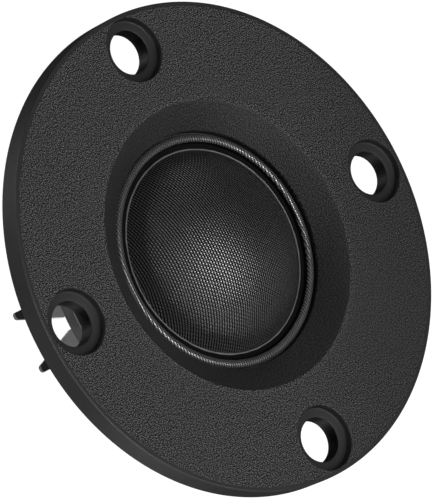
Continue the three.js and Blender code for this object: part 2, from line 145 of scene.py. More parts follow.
ROUND = 256  # facets round a large turned piece
HOLE_ROUND = 72  # facets round a screw hole
RIVET_ROUND = 64  # facets round a rivet
SMALL_ROUND = 48  # facets round a rivet hole or a mound of solder
SHARP_ANGLE = 35  # degrees: edges sharper than this stay sharp when shaded
OVERSHOOT = 1 * MM  # how far a cutter reaches past what it cuts
ON_AXIS = 1e-9  # a point nearer to the axis than this lies on it
SIDEWAYS = Vector((1, 0, 0))  # square to the plane that each lead runs in

# ------------------------------------------------------------------ camera, floor and light

CAMERA_AZIMUTH = -1.5  # degrees, as are the next two
CAMERA_ELEVATION = 50.6
CAMERA_ROLL = 65.0
CAMERA_DISTANCE = 592 * MM
CAMERA_LENS = 340  # millimetres, as is the next one
CAMERA_SENSOR = 36
CAMERA_AIM = Vector((0, -2.25 * MM, FACE_Z))
LIGHT_DISTANCE = 600 * MM
SOFTBOX = 233 * MM  # side of each square softbox
SOFTBOXES = [  # name, azimuth and elevation in degrees, power in watts
    ("key_back", 120, 58, 0.47),
    ("key_right", 90, 58, 0.36),
    ("key_front", 60, 75, 0.33),
    ("key_high", 120, 75, 0.31),
    ("overhead", 0, 88, 0.45),
    ("left_back", 240, 18, 0.12),
    ("right_back", 150, 18, 0.07),
    ("front_low", 0, 2, 2.4),
    ("front_right_low", 45, 2, 2.0),
    ("right_low", 90, 2, 0.7),
    ("front_left_low", -60, 2, 0.6),
    ("floor_bounce", -60, -30, 0.6),
    ("floor_bounce", 60, -30, 0.6),
    ("floor_bounce", 180, -30, 0.6),
]
WORLD_GLOW = 0.02
FLOOR_SIZE = 4  # metres
FLOOR_GAP = 0.02 * MM  # the floor lies this far below the back of the tweeter
BACKDROP_R = 2.4  # metres


def direction(azimuth, elevation):
    """Unit vector towards a compass direction: azimuth 0 is -Y and 90 is +X."""
    a, e = math.radians(azimuth), math.radians(elevation)
    return Vector((math.sin(a) * math.cos(e), -math.cos(a) * math.cos(e), math.sin(e)))


def add_camera():
    """Long lens that looks down on the front of the tweeter, rolled about its own axis."""
    data = bpy.data.cameras.new("camera")
    data.lens = CAMERA_LENS
    data.sensor_width = CAMERA_SENSOR
    camera = bpy.data.objects.new("camera", data)
    bpy.context.scene.collection.objects.link(camera)
    back = direction(CAMERA_AZIMUTH, CAMERA_ELEVATION)
    camera.location = CAMERA_AIM + back * CAMERA_DISTANCE
    camera.rotation_mode = "QUATERNION"
    upright = (-back).to_track_quat("-Z", "Y")
    camera.rotation_quaternion = upright @ Quaternion((0, 0, 1), math.radians(CAMERA_ROLL))
    bpy.context.scene.camera = camera


def add_softbox(name, azimuth, elevation, power):
    """Square area light that faces the middle of the dome."""
    data = bpy.data.lights.new(name, "AREA")
    data.shape = "SQUARE"
    data.size = SOFTBOX
    data.energy = power
    light = bpy.data.objects.new(name, data)
    bpy.context.scene.collection.objects.link(light)
    towards = direction(azimuth, elevation)
    light.location = Vector((0, 0, FACE_Z)) + towards * LIGHT_DISTANCE
    light.rotation_mode = "QUATERNION"
    light.rotation_quaternion = towards.to_track_quat("Z", "Y")


def add_lights():
    """Faint even light from all round, and the softboxes."""
    bpy.context.scene.view_settings.view_transform = "Standard"
    world = bpy.data.worlds.new("world")
    bpy.context.scene.world = world
    world.use_nodes = True
    background = world.node_tree.nodes["Background"]
    background.inputs["Color"].default_value = (1, 1, 1, 1)
    background.inputs["Strength"].default_value = WORLD_GLOW
    for name, azimuth, elevation, power in SOFTBOXES:
        add_softbox(name, azimuth, elevation, power)


def glowing(name, albedo):
    """Pale studio surface that is lit mostly by its own even white glow."""
    material = bpy.data.materials.new(name)
    material.use_nodes = True
    shader = material.node_tree.nodes["Principled BSDF"]
    shader.inputs["Base Color"].default_value = (albedo, albedo, albedo, 1)
    shader.inputs["Roughness"].default_value = 0.9
    shader.inputs["Specular IOR Level"].default_value = 0.1
    shader.inputs["Emission Color"].default_value = (1, 1, 1, 1)
    shader.inputs["Emission Strength"].default_value = 1.0
    return material


def add_stage():
    """Pale floor under the tweeter and a pale shell round the set."""
    bpy.ops.mesh.primitive_plane_add(size=FLOOR_SIZE)
    floor = bpy.context.object
    floor.name = "floor"
    floor.location.z = -FLOOR_GAP
    floor.data.materials.append(glowing("floor_white", 0.12))
    bpy.ops.mesh.primitive_uv_sphere_add(radius=BACKDROP_R, segments=64, ring_count=32)
    shell = bpy.context.object
    shell.name = "backdrop"
    shell.data.materials.append(glowing("backdrop_white", 0.02))
    for piece in (floor, shell):
        piece.visible_diffuse = False
        piece.visible_glossy = False
        piece.visible_shadow = False


# ------------------------------------------------------------------ mesh helpers


def arc(r, z, radius, start, end, steps):
    """Points of a circular arc in the (radius, height) plane, ends included, angles in degrees."""
    angles = [math.radians(start + (end - start) * i / steps) for i in range(steps + 1)]
    return [(r + radius * math.cos(a), z + radius * math.sin(a)) for a in angles]


def rounded_section(inner_r, outer_r, low, high, edge, steps=4):
    """Half section of a ring, or of a disc if inner_r is 0, with rounded edges."""
    outer = [
        *arc(outer_r - edge, low + edge, edge, 270, 360, steps),
        *arc(outer_r - edge, high - edge, edge, 0, 90, steps),
    ]
    if inner_r == 0:
        return [*outer, (0, high), (0, low)]
    return [
        *outer,
        *arc(inner_r + edge, high - edge, edge, 90, 180, steps),
        *arc(inner_r + edge, low + edge, edge, 180, 270, steps),
    ]


def new_piece(name, bm, material=None, smooth=True, sharp_angle=SHARP_ANGLE):
    """Turns a bmesh into a named object with its material and shading."""
    bmesh.ops.recalc_face_normals(bm, faces=bm.faces)
    mesh = bpy.data.meshes.new(name)
    bm.to_mesh(mesh)
    bm.free()
    piece = bpy.data.objects.new(name, mesh)
    bpy.context.scene.collection.objects.link(piece)
    if material:
        mesh.materials.append(material)
    if smooth:
        mesh.shade_smooth()
        mesh.set_sharp_from_angle(angle=math.radians(sharp_angle))
    return piece


def turned_bmesh(outline, segments=ROUND):
    """Closed outline of (radius, height) points turned about Z. Points on the axis make one vertex."""
    bm = bmesh.new()
    rings = []
    for r, z in outline:
        if r < ON_AXIS:
            rings.append([bm.verts.new((0, 0, z))])
            continue
        turns = [2 * math.pi * i / segments for i in range(segments)]
        rings.append([bm.verts.new((r * math.cos(a), r * math.sin(a), z)) for a in turns])
    for low, high in zip(rings, rings[1:] + rings[:1]):
        if len(low) == 1 and len(high) == 1:
            continue
        for i in range(segments):
            j = (i + 1) % segments
            corners = [low[i % len(low)], low[j % len(low)], high[j % len(high)], high[i % len(high)]]
            bm.faces.new(list(dict.fromkeys(corners)))
    return bm


def turned(name, outline, material, segments=ROUND):
    """Piece made by turning an outline about Z."""
    return new_piece(name, turned_bmesh(outline, segments), material)


def skin_rings(bm, rings):
    """Closed body through rings of as many vertices each, with a flat face at either end."""
    count = len(rings[0])
    for low, high in zip(rings, rings[1:]):
        for i in range(count):
            j = (i + 1) % count
            bm.faces.new((low[i], low[j], high[j], high[i]))
    bm.faces.new(rings[0])
    bm.faces.new(rings[-1])


def apply_modifiers(piece):
    """Makes what a piece's modifiers do part of its mesh."""
    bpy.context.view_layer.objects.active = piece
    for modifier in list(piece.modifiers):
        bpy.ops.object.modifier_apply(modifier=modifier.name)


def cut_away(piece, cutter):
    """Boolean difference, applied, with the cutter thrown away."""
    modifier = piece.modifiers.new("cut", "BOOLEAN")
    modifier.operation = "DIFFERENCE"
    modifier.solver = "EXACT"
    modifier.object = cutter
    apply_modifiers(piece)
    bpy.data.objects.remove(cutter)


def even_shading(piece):
    """Keeps flat faces flat and rounded edges smooth after a boolean."""
    piece.data.shade_smooth()
    piece.data.set_sharp_from_angle(angle=math.radians(SHARP_ANGLE))
    modifier = piece.modifiers.new("even_shading", "WEIGHTED_NORMAL")
    modifier.keep_sharp = True
    apply_modifiers(piece)


def stands_for(piece, node, body):
    """The piece takes the place of one CAD node and moves with its body."""
    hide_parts(node)
    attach(piece, body)


# ------------------------------------------------------------------ node helpers


class Paint:
    """A material under construction: makes nodes, and links sockets given in place of values."""

    def __init__(self, name):
        self.material = bpy.data.materials.new(name)
        self.material.use_nodes = True
        self.nodes = self.material.node_tree.nodes
        self.links = self.material.node_tree.links
        self.shader = self.nodes["Principled BSDF"]
        self.place = self.node("ShaderNodeTexCoord").outputs["Object"]

    def put(self, socket, value):
        """Links the socket to another one, or sets its value."""
        if isinstance(value, bpy.types.NodeSocket):
            self.links.new(value, socket)
        else:
            socket.default_value = value

    def node(self, kind, values=(), **settings):
        """New node with these settings, and with values or links on its inputs."""
        made = self.nodes.new(kind)
        for key, value in settings.items():
            setattr(made, key, value)
        for key, value in dict(values).items():
            self.put(made.inputs[key], value)
        return made

    def math(self, operation, *values):
        """Result of one arithmetic step."""
        return self.node("ShaderNodeMath", dict(enumerate(values)), operation=operation).outputs[0]

    def plus(self, first, second):
        return self.math("ADD", first, second)

    def minus(self, first, second):
        return self.math("SUBTRACT", first, second)

    def times(self, first, second):
        return self.math("MULTIPLY", first, second)

    def hypot(self, x, y):
        """Length of a flat vector."""
        return self.math("SQRT", self.plus(self.times(x, x), self.times(y, y)))

    def split(self):
        """The three coordinates of the shaded point."""
        made = self.node("ShaderNodeSeparateXYZ", {0: self.place})
        return made.outputs["X"], made.outputs["Y"], made.outputs["Z"]

    def noise(self, size, detail, roughness=0.5):
        """Noise from 0 to 1 whose blobs are about size across."""
        values = {"Vector": self.place, "Scale": 1 / size, "Detail": detail, "Roughness": roughness}
        return self.node("ShaderNodeTexNoise", values).outputs["Fac"]

    def spots(self, size, randomness):
        """Distance, in units of size, to points scattered about size apart in X and Y."""
        values = {"Vector": self.place, "Scale": 1 / size, "Randomness": randomness}
        made = self.node("ShaderNodeTexVoronoi", values, feature="F1", voronoi_dimensions="2D")
        return made.outputs["Distance"]

    def step(self, value, low, high, to_low=0.0, to_high=1.0):
        """Smooth ramp of a value between two limits."""
        numbers = {"Value": value, 1: low, 2: high, 3: to_low, 4: to_high}
        made = self.node("ShaderNodeMapRange", numbers, interpolation_type="SMOOTHSTEP")
        return made.outputs[0]

    def blend(self, share, first, second):
        """Mixes two colours."""
        made = self.nodes.new("ShaderNodeMix")
        made.data_type = "RGBA"
        sockets = {s.name: s for s in made.inputs if s.enabled}
        for key, value in {"Factor": share, "A": first, "B": second}.items():
            self.put(sockets[key], value)
        return next(s for s in made.outputs if s.enabled)

    def bump(self, height, depth):
        """Surface normal tilted by a height from 0 to 1 that stands for this depth."""
        return self.node("ShaderNodeBump", {"Height": height, "Distance": depth}).outputs["Normal"]

    def finish(self, **values):
        """Sets the shader's inputs, an underscore for each space in their names."""
        for key, value in values.items():
            self.put(self.shader.inputs[key.replace("_", " ")], value)
        return self.material


def grey(level, tint=(1, 1, 1)):
    """Opaque colour: this much light, shared out as the tint says."""
    return (level * tint[0], level * tint[1], level * tint[2], 1)


# ------------------------------------------------------------------ materials


def woven_height(paint, radius):
    """Height, from 0 to 1, of a plain weave laid over a ball, with threads along X and Y."""
    x, y, _ = paint.split()
    wander = paint.noise(3 * MM, 1.0)
    sway = paint.times(paint.minus(wander, 0.5), THREAD_SWAY)

    def count(distance, pitch):
        """How many threads lie between the middle of the cloth and here."""
        flat = paint.math("DIVIDE", distance, radius)
        wrapped = paint.times(paint.math("ARCSINE", flat), radius / pitch)
        return paint.plus(wrapped, sway)

    def alternate(number):
        """1 on even threads and -1 on odd ones."""
        parity = paint.math("MODULO", paint.math("ABSOLUTE", paint.math("FLOOR", number)), 2.0)
        return paint.minus(1.0, paint.times(parity, 2.0))

    def crown(number):
        """Round section of a thread, from 0 at its sides to 1 in its middle."""
        across = paint.times(paint.math("FRACT", number), math.pi)
        return paint.math("POWER", paint.math("SINE", across), 0.7)

    def wave(number, other):
        """Swing of a thread over and under the ones it crosses, from -1 to 1."""
        along = paint.math("SINE", paint.times(number, math.pi))
        return paint.times(along, alternate(other))

    warp, weft = count(x, WARP_PITCH), count(y, WEFT_PITCH)
    warp_lift = paint.times(wave(weft, warp), WARP_LIFT)
    weft_lift = paint.times(wave(warp, weft), -WEFT_LIFT)
    warp_height = paint.times(paint.plus(warp_lift, WARP_LEVEL), crown(warp))
    weft_height = paint.times(paint.plus(weft_lift, WEFT_LEVEL), crown(weft))
    return paint.math("MAXIMUM", warp_height, weft_height)


def grain_strength(paint, place, r, face):
    """Depth of the grain, from 0 to 1: full on the face, less in the cone and on the side with painted
    shade.
    """
    x, y, z = place
    lip_z = FACE_Z - OPENING_DEPTH
    in_cone = paint.step(r, RECESS_R, RECESS_R + 1.2 * MM, CONE_GRAIN, 0)
    above_lip = paint.step(z, lip_z - 0.5 * MM, lip_z - 0.2 * MM)
    cone = paint.times(in_cone, above_lip)
    # painted shade: the grain, and with it the pale painted peaks, fades towards one side of the flange
    side = math.radians(PAINTED_SHADE_SIDE)
    along = paint.plus(paint.times(x, math.cos(side)), paint.times(y, math.sin(side)))
    painted_shade_share = paint.step(along, 0, FLANGE_R, 1, PAINTED_SHADE_GRAIN)
    return paint.times(paint.plus(face, cone), painted_shade_share)


def eroded_grain(paint):
    """Height, from 0 to 1, of the spark-eroded grain: scattered peaks on uneven ground."""
    ground = paint.noise(0.11 * MM, 1.0, 0.6)
    peaks = paint.minus(1.0, paint.spots(GRAIN_PITCH, 0.7))
    return paint.plus(paint.times(ground, 0.25), paint.times(peaks, 0.75))


def screw_seats(paint, z, r):
    """1 on the flat seats of the four counterbores and 0 elsewhere."""
    at_seat = paint.math("COMPARE", z, FACE_Z - COUNTERBORE_DEPTH, 0.06 * MM)
    off_bolt_circle = paint.math("ABSOLUTE", paint.minus(r, BOLT_R))
    beside_hole = paint.step(off_bolt_circle, COUNTERBORE_R, COUNTERBORE_R + 0.1 * MM, 1, 0)
    return paint.times(at_seat, beside_hole)


def moulded_plastic():
    """Black moulded plastic: grained on the front face, less in the cone, smooth elsewhere."""
    paint = Paint("moulded_plastic")
    x, y, z = paint.split()
    r = paint.hypot(x, y)
    on_face = paint.step(z, FACE_Z - 0.06 * MM, FACE_Z - 0.01 * MM)
    border_r = FLANGE_R - SMOOTH_BORDER
    inside_border = paint.step(r, border_r, border_r + 0.1 * MM, 1, 0)
    face = paint.times(on_face, inside_border)
    border = paint.times(on_face, paint.minus(1.0, inside_border))
    strength = grain_strength(paint, (x, y, z), r, face)
    grain = eroded_grain(paint)
    fine = paint.noise(0.09 * MM, 1.0)
    height = paint.plus(paint.times(grain, strength), paint.times(fine, 0.06))
    # painted glints: the peaks of the grain are painted pale grey
    painted_glint_peaks = paint.times(paint.step(grain, PEAK_LOW, PEAK_HIGH), strength)
    # painted sheen: the smooth border and the screw seats are painted a little grey
    smooth = paint.plus(border, screw_seats(paint, z, r))
    painted_glints_and_sheen = paint.plus(painted_glint_peaks, paint.times(smooth, SMOOTH_PAINTED_SHEEN))
    cloud = paint.noise(9 * MM, 3.0)
    base = paint.blend(cloud, grey(0.010), grey(0.014))
    uneven = paint.step(cloud, 0.2, 0.8, 0.44, 0.52)
    return paint.finish(
        Base_Color=paint.blend(painted_glints_and_sheen, base, grey(0.30)),
        Roughness=paint.plus(uneven, paint.times(face, 0.06)),
        Specular_IOR_Level=0.38,
        Normal=paint.bump(height, GRAIN_DEPTH),
    )


def woven_cloth(name, radius, depth, gloss, gap_grey, crown_grey, crown_low, sealed_painted_shade_r=0):
    """Black coated plain weave, glossy on the crowns of its threads, and smooth and black within the sealed
    radius: a sealing coat whose black is partly painted shade.

    The crowns begin at the height crown_low of the weave, which runs from 0 to 1.
    """
    paint = Paint(name)
    weave = woven_height(paint, radius)
    # partly painted shade: inside this radius the crowns go, so the foot is painted black and smooth as a
    # sealing coat
    if sealed_painted_shade_r:
        x, y, _ = paint.split()
        bare = paint.step(paint.hypot(x, y), sealed_painted_shade_r, sealed_painted_shade_r + 0.15 * MM)
        weave = paint.times(weave, bare)
    cloud = paint.noise(4 * MM, 3.0)
    fibre = paint.noise(0.05 * MM, 2.0)
    crown = paint.step(weave, crown_low, 0.95)
    shine = paint.step(cloud, 0.25, 0.75, gloss, gloss + 0.08)
    dullness = paint.times(paint.minus(1.0, crown), 0.45)
    relief = paint.plus(weave, paint.times(fibre, 0.08))
    return paint.finish(
        Base_Color=paint.blend(crown, grey(gap_grey), grey(crown_grey)),
        Metallic=paint.times(crown, 0.9),
        Roughness=paint.plus(shine, dullness),
        Specular_IOR_Level=0.15,
        Normal=paint.bump(relief, depth),
    )


def dome_cloth():
    """Cloth drawn over the dome, its weave deep and clear."""
    return woven_cloth(
        "dome_cloth",
        radius=DOME_BALL_R * 1.02,
        depth=0.055 * MM,
        gloss=0.21,
        gap_grey=0.0003,
        crown_grey=0.42,
        crown_low=0.62,
    )


def surround_cloth():
    """Cloth of the roll, its weave nearly flat and its foot sealed smooth and black, the black partly
    painted shade.
    """
    return woven_cloth(
        "surround_cloth",
        radius=40 * MM,
        depth=0.02 * MM,
        gloss=0.20,
        gap_grey=0.002,
        crown_grey=0.42,
        crown_low=0.35,
        sealed_painted_shade_r=ROLL_CENTRE_R - ROLL_R,
    )


def tinned_brass():
    """Lug metal: painted light makes the tin bright under the cap; painted shade makes it darker and duller
    towards the tips.
    """
    paint = Paint("tinned_brass")
    _, y, _ = paint.split()
    cloud = paint.noise(2 * MM, 3.0)
    fine = paint.noise(0.15 * MM, 3.0)
    # painted light and shade: the lug is painted bright near the cap and dark towards its tips
    painted_shade_y, painted_light_y = -21.3 * MM, -20.2 * MM
    uneven_y = paint.plus(y, paint.times(cloud, 1 * MM))
    painted_light_share = paint.step(uneven_y, painted_shade_y, painted_light_y)
    painted_shade_tip = paint.blend(cloud, grey(0.06), grey(0.10))
    painted_lit_tin = paint.blend(cloud, grey(0.66), grey(0.84))
    return paint.finish(
        Base_Color=paint.blend(painted_light_share, painted_shade_tip, painted_lit_tin),
        Roughness=paint.step(cloud, 0.2, 0.8, 0.48, 0.60),
        Metallic=0.15,
        Normal=paint.bump(fine, 0.01 * MM),
    )


def plain_finish(name, colour, roughness, metallic=0.0, mottle=4 * MM, relief=0.01 * MM):
    """Ordinary finish: slow colour mottle, uneven roughness and fine surface relief."""
    spread = 0.25
    paint = Paint(name)
    cloud = paint.noise(mottle, 3.0)
    fine = paint.noise(0.15 * MM, 3.0)
    darker = tuple(c * (1 - spread) for c in colour[:3]) + (1,)
    lighter = tuple(min(1, c * (1 + spread)) for c in colour[:3]) + (1,)
    rough = paint.step(cloud, 0.2, 0.8, roughness * 0.85, min(1, roughness * 1.15))
    return paint.finish(
        Base_Color=paint.blend(cloud, darker, lighter),
        Roughness=rough,
        Metallic=metallic,
        Normal=paint.bump(fine, relief),
    )


# ------------------------------------------------------------------ the faceplate


def faceplate_outline():
    """Half section of flange, cone, opening and skirt, without the screw holes."""
    edge = 0.18 * MM
    back_edge = 0.25 * MM
    softening = 0.7 * MM
    run = RECESS_R - OPENING_R
    slope = math.degrees(math.atan2(OPENING_DEPTH, run))
    tangent = softening * math.tan(math.radians(slope / 2))
    shoulder_r = RECESS_R + tangent
    lip = 0.18 * MM
    lip_z = FACE_Z - OPENING_DEPTH
    skirt_low = PLATE_LOW.z
    return [
        *arc(FLANGE_R - back_edge, FLANGE_BACK_Z + back_edge, back_edge, -90, 0, 4),
        *arc(FLANGE_R - edge, FACE_Z - edge, edge, 0, 90, 8),
        *arc(shoulder_r, FACE_Z - softening, softening, 90, 90 + slope, 8),
        *arc(OPENING_R + lip, lip_z - lip, lip, 90 + slope, 180, 6),
        (OPENING_R, CLOTH_TOP_Z),
        (SKIRT_BORE_R, CLOTH_TOP_Z),
        *arc(SKIRT_BORE_R + lip, skirt_low + lip, lip, 180, 270, 4),
        *arc(SKIRT_R - lip, skirt_low + lip, lip, 270, 360, 4),
        *arc(SKIRT_R + 2 * lip, FLANGE_BACK_Z - 2 * lip, 2 * lip, 180, 90, 4),
    ]


def screw_hole_cutter():
    """Four cutters in one, each a hole and a counterbore with soft edges and a rounded corner."""
    soft = 0.15 * MM
    corner = 0.3 * MM
    floor_z = FACE_Z - COUNTERBORE_DEPTH
    above = FACE_Z + OVERSHOOT
    below = FLANGE_BACK_Z - OVERSHOOT
    outline = [
        (0, below),
        (SCREW_HOLE_R, below),
        *arc(SCREW_HOLE_R + soft, floor_z - soft, soft, 180, 90, 3),
        *arc(COUNTERBORE_R - corner, floor_z + corner, corner, 270, 360, 6),
        *arc(COUNTERBORE_R + soft, FACE_Z - soft, soft, 180, 90, 5),
        (COUNTERBORE_R + soft, above),
        (0, above),
    ]
    bm = bmesh.new()
    for i in range(4):
        single = turned_bmesh(outline, HOLE_ROUND)
        angle = i * math.pi / 2
        offset = Vector((BOLT_R * math.cos(angle), BOLT_R * math.sin(angle), 0))
        bmesh.ops.translate(single, verts=single.verts, vec=offset)
        mesh = bpy.data.meshes.new("single")
        single.to_mesh(mesh)
        single.free()
        bm.from_mesh(mesh)
        bpy.data.meshes.remove(mesh)
    return new_piece("screw_hole_cutter", bm, smooth=False)


def rounded_rectangle(half_width, low, high, corner, longest=0.8 * MM):
    """Outline with rounded corners, its long sides split into short steps so that it can be bent."""
    middles = ((1, high - corner), (-1, high - corner), (-1, low + corner), (1, low + corner))
    outline = []
    for quarter, (side, v) in enumerate(middles):
        outline += arc(side * (half_width - corner), v, corner, 90 * quarter, 90 * quarter + 90, 4)
    split = []
    for (u, v), (next_u, next_v) in zip(outline, outline[1:] + outline[:1]):
        steps = max(1, math.ceil(math.hypot(next_u - u, next_v - v) / longest))
        for i in range(steps):
            split.append((u + (next_u - u) * i / steps, v + (next_v - v) * i / steps))
    return split


def pocket_levels():
    """How far the wall of a pocket stands in from its mouth, and at what height, up to its floor."""
    fillet = 0.3 * MM
    draft = 0.04 * MM
    steps = 4
    floor_z = FLANGE_BACK_Z + POCKET_DEPTH
    levels = [(0, FLANGE_BACK_Z - 0.5 * MM)]
    for i in range(steps + 1):
        angle = math.pi / 2 * i / steps
        inset = draft + fillet * (1 - math.cos(angle))
        levels.append((inset, floor_z - fillet * (1 - math.sin(angle))))
    return levels


def pocket_cutter():
    """Drafted pockets with filleted floors, three between each pair of screw holes."""
    inner_r = SKIRT_R + 1.6 * MM
    outer_r = FLANGE_R - 1.8 * MM
    middle_r = (inner_r + outer_r) / 2
    half_width = middle_r * math.radians(POCKET_SPAN / 2)
    pitch = math.radians(POCKET_PITCH)
    corner = 0.9 * MM
    levels = pocket_levels()
    bm = bmesh.new()
    for quarter, place in itertools.product(range(4), (-1, 0, 1)):
        middle = (quarter + 0.5) * math.pi / 2 + place * pitch
        rings = []
        for inset, z in levels:
            ring = []
            for u, r in rounded_rectangle(half_width, inner_r, outer_r, corner):
                u_share = 1 - inset / half_width
                r_share = 1 - 2 * inset / (outer_r - inner_r)
                angle = middle + u * u_share / middle_r
                at = middle_r + (r - middle_r) * r_share
                ring.append(bm.verts.new((at * math.cos(angle), at * math.sin(angle), z)))
            rings.append(ring)
        skin_rings(bm, rings)
    return new_piece("pocket_cutter", bm, smooth=False)


def faceplate(material):
    """Moulded flange, cone and skirt in one, with screw holes and pockets in its back."""
    plate = turned("faceplate_shell", faceplate_outline(), material)
    cut_away(plate, screw_hole_cutter())
    cut_away(plate, pocket_cutter())
    even_shading(plate)
    stands_for(plate, "faceplate", "frame")


# ------------------------------------------------------------------ the diaphragm


def dome(material):
    """Thin cap of cloth, cut off level at its foot."""
    centre_z = DOME_HIGH.z - DOME_BALL_R
    inner_r = DOME_BALL_R - CLOTH_T
    start = math.degrees(math.asin((DOME_LOW.z - centre_z) / DOME_BALL_R))
    inner_start = math.degrees(math.asin((DOME_LOW.z - centre_z) / inner_r))
    outline = [
        *arc(0, centre_z, DOME_BALL_R, start, 90, 64),
        *arc(0, centre_z, inner_r, 90, inner_start, 64),
    ]
    outline = [(max(r, 0), z) for r, z in outline]
    stands_for(turned("dome_cap", outline, material), "dome", "diaphragm")


def share_across_roll(piece):
    """Blends outwards from the foot of the roll to its edge, in place of along a line."""
    share = piece.data.attributes["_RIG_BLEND"].data
    for vertex in piece.data.vertices:
        r = math.hypot(vertex.co.x, vertex.co.y)
        across = (r - (ROLL_CENTRE_R - ROLL_R)) / (2 * ROLL_R)
        across = min(1, max(0, across))
        share[vertex.index].value = across * across * (3 - 2 * across)


def surround(material):
    """Foot, roll and edge in one cloth. The foot moves with the dome, the edge stays where it is."""
    inner_roll = ROLL_R - CLOTH_T
    top = CLOTH_TOP_Z
    under = top - CLOTH_T
    roll_z = CLOTH_HIGH.z - ROLL_R
    soft = 0.15 * MM
    outline = [
        (COIL_R, under),
        (ROLL_CENTRE_R - inner_roll, under),
        *arc(ROLL_CENTRE_R, roll_z, inner_roll, 180, 0, 14),
        (ROLL_CENTRE_R + inner_roll, under),
        (RIM_R, under),
        (RIM_R, top),
        (ROLL_CENTRE_R + ROLL_R, top),
        *arc(ROLL_CENTRE_R, roll_z, ROLL_R, 0, 180, 18),
        *arc(ROLL_CENTRE_R - ROLL_R - soft, top + soft, soft, 0, -90, 4),
        (COIL_R, top),
    ]
    roll = turned("surround_roll", outline, material)
    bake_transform(roll, "diaphragm", "frame", start=(0, 0, under), end=(0, 0, CLOTH_HIGH.z))
    share_across_roll(roll)
    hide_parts("surround")


def wavy(piece, inner_r, amount, waves):
    """Shifts the outside of a turned piece in and out, in so many waves round it."""
    for vertex in piece.data.vertices:
        r = math.hypot(vertex.co.x, vertex.co.y)
        angle = math.atan2(vertex.co.y, vertex.co.x)
        swing = sum(math.sin(n * angle + n * n) for n in waves) / len(waves)
        share = 1 + amount * swing * max(0, r - inner_r) / r
        vertex.co.x *= share
        vertex.co.y *= share


def glue_bead(material):
    """Bead of glue round the dome's edge, slightly uneven in width as laid by hand."""
    radius = 0.11 * MM
    middle_z = CLOTH_TOP_Z + 0.05 * MM
    outline = [(DOME_R, CLOTH_TOP_Z), *arc(DOME_R + radius, middle_z, radius, 0, 180, 10)]
    bead = turned("glue_line", outline, material)
    wavy(bead, DOME_R, amount=0.25, waves=(3, 7, 19, 41))
    stands_for(bead, "dome_glue_bead", "diaphragm")


def coil_former(material):
    """Foil tube of the voice coil, with its cut edges slightly rounded."""
    inner_r = COIL_R - 0.2 * MM
    outline = rounded_section(inner_r, COIL_R, FORMER_LOW.z, FORMER_HIGH.z, 0.06 * MM)
    tube = turned("former_tube", outline, material)
    stands_for(tube, "voice_coil_former", "diaphragm")


def coil_winding(material):
    """Eighteen turns of round wire, side by side on the former."""
    low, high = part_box("voice_coil_winding")
    turns = 18
    wire_r = (high.z - low.z) / turns / 2
    middle_r = high.x - wire_r
    inner_r = COIL_R + 0.01 * MM
    outline = [(inner_r, high.z - wire_r), (inner_r, low.z + wire_r)]
    for turn in range(turns):
        outline += arc(middle_r, low.z + wire_r * (2 * turn + 1), wire_r, -80, 80, 6)
    winding = turned("winding", outline, material)
    stands_for(winding, "voice_coil_winding", "diaphragm")


# ------------------------------------------------------------------ ring, motor and felts


def lead_slot_cutter(inner_r, outer_r, low, high):
    """Two square cutters, one for each lead, between two radii along -Y."""
    bm = bmesh.new()
    for side in (-1, 1):
        near = side * RIVET_X - LEAD_SLOT_W / 2
        far = side * RIVET_X + LEAD_SLOT_W / 2
        made = bmesh.ops.create_cube(bm, size=1)["verts"]
        for vertex in made:
            vertex.co.x = far if vertex.co.x > 0 else near
            vertex.co.y = -inner_r if vertex.co.y > 0 else -outer_r
            vertex.co.z = high if vertex.co.z > 0 else low
    return new_piece("lead_slot_cutter", bm, smooth=False)


def diaphragm_ring(material):
    """Moulded ring under the edge of the surround, with grooves for the leads."""
    inner_r = OPENING_R + 0.03 * MM
    roof = 0.35 * MM
    outline = rounded_section(inner_r, RING_HIGH.x, RING_LOW.z, RING_HIGH.z, 0.12 * MM)
    ring = turned("carrier_ring", outline, material)
    low, high = RING_LOW.z - OVERSHOOT, RING_HIGH.z - roof
    cut_away(ring, lead_slot_cutter(OPENING_R - OVERSHOOT, RIM_R + OVERSHOOT, low, high))
    even_shading(ring)
    stands_for(ring, "diaphragm_ring", "frame")


def yoke_cup(material):
    """Pressed steel cup with a vent in its floor and slots for the leads in its turned-out rim."""
    edge = 0.2 * MM
    corner = 0.8 * MM
    floor_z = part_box("magnet")[0].z
    rim_under = CUP_HIGH.z - CUP_RIM_T
    outline = [
        *arc(VENT_R + edge, floor_z - edge, edge, 90, 180, 3),
        *arc(VENT_R + edge, CUP_LOW.z + edge, edge, 180, 270, 3),
        *arc(CUP_WALL_R - corner, CUP_LOW.z + corner, corner, 270, 360, 8),
        *arc(CUP_WALL_R + edge, rim_under - edge, edge, 180, 90, 3),
        *arc(RIM_R - edge, rim_under + edge, edge, 270, 360, 3),
        *arc(RIM_R - edge, CUP_HIGH.z - edge, edge, 0, 90, 3),
        *arc(CUP_BORE_R + edge, CUP_HIGH.z - edge, edge, 90, 180, 3),
        *arc(CUP_BORE_R - edge, floor_z + edge, edge, 0, -90, 3),
    ]
    cup = turned("steel_cup", outline, material)
    slot_r = CUP_WALL_R + 0.3 * MM
    slot_low, slot_high = rim_under - OVERSHOOT, CUP_HIGH.z + OVERSHOOT
    cut_away(cup, lead_slot_cutter(slot_r, RIM_R + OVERSHOOT, slot_low, slot_high))
    even_shading(cup)
    stands_for(cup, "yoke_cup", "frame")


def dent(piece, above_z, depth):
    """Presses slow uneven dents, up to this depth, into the part of a piece above a height."""
    pitch = 1.1 * MM
    for vertex in piece.data.vertices:
        x, y = vertex.co.x / pitch, vertex.co.y / pitch
        share = (1 + math.sin(3.1 * x + y) * math.cos(2.3 * y)) / 2
        if vertex.co.z > above_z:
            vertex.co.z -= depth * share


